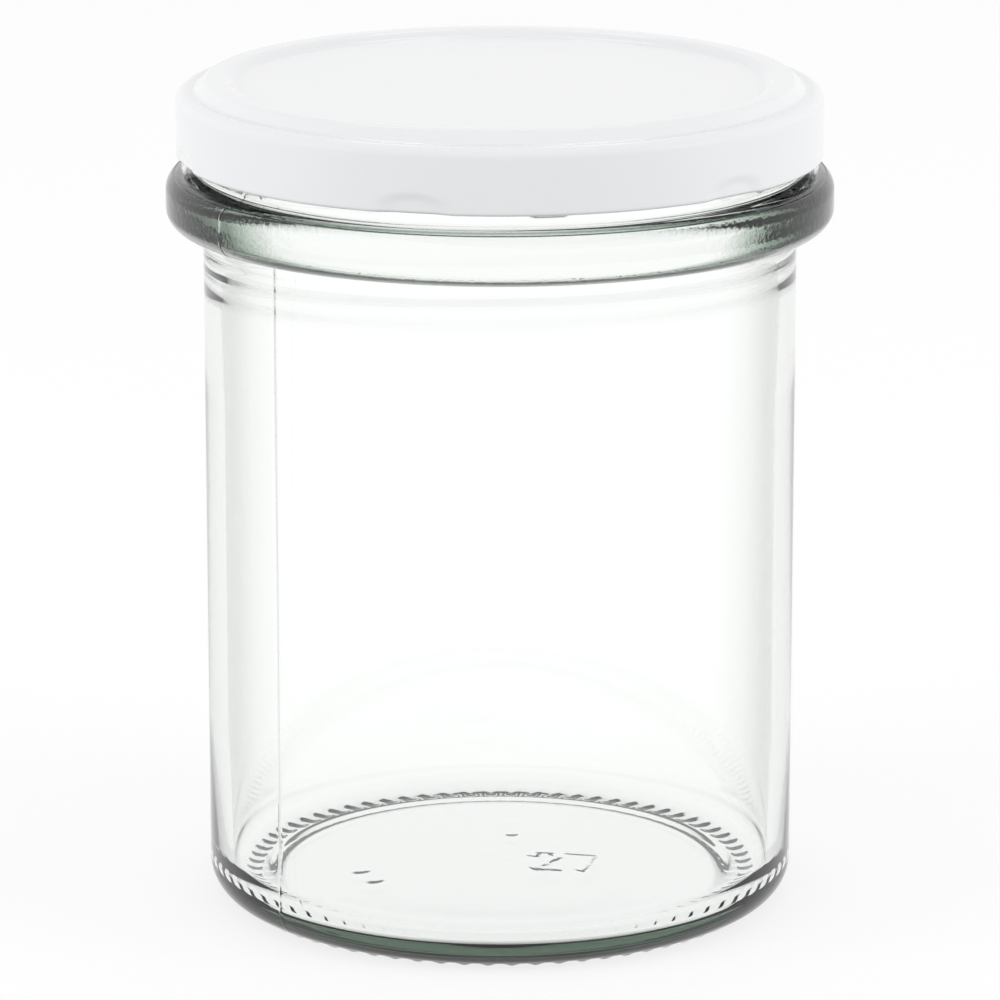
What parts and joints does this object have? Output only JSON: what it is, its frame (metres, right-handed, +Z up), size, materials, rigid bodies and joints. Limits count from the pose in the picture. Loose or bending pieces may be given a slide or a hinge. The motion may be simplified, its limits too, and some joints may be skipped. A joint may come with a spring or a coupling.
{
  "type": "glass jar with twist-off cap",
  "caption": "Clear straight-sided food jar with a transfer bead, a knurled base and a white twist-off lug cap that turns and lifts off.",
  "frame": {"origin": "centre of the circle that the base knurls stand on, at the lowest point of the jar", "axes": "+Z up along the jar's axis, towards the cap; -Y towards the front as pictured"},
  "size_m": [0.0876, 0.0876, 0.1104],
  "materials": {
    "clear_glass": "clear, polished",
    "plastisol": "matte",
    "white_tinplate": "glossy lacquer"
  },
  "bodies": {
    "jar": {"glass_jar": "clear_glass"},
    "lid_seal": {"lid_gasket": "plastisol"},
    "lid": {"lid_shell": "white_tinplate"}
  },
  "joints": [
    {"name": "lid_lift", "type": "slide", "parent": "jar", "child": "lid_seal", "axis": [0, 0, 1], "range_m": [0, 0.06]},
    {"name": "lid_twist", "type": "hinge", "parent": "lid_seal", "child": "lid", "pos_m": [0, 0, 0.1], "axis": [0, 0, 1], "range_deg": [-22, 0]}
  ]
}
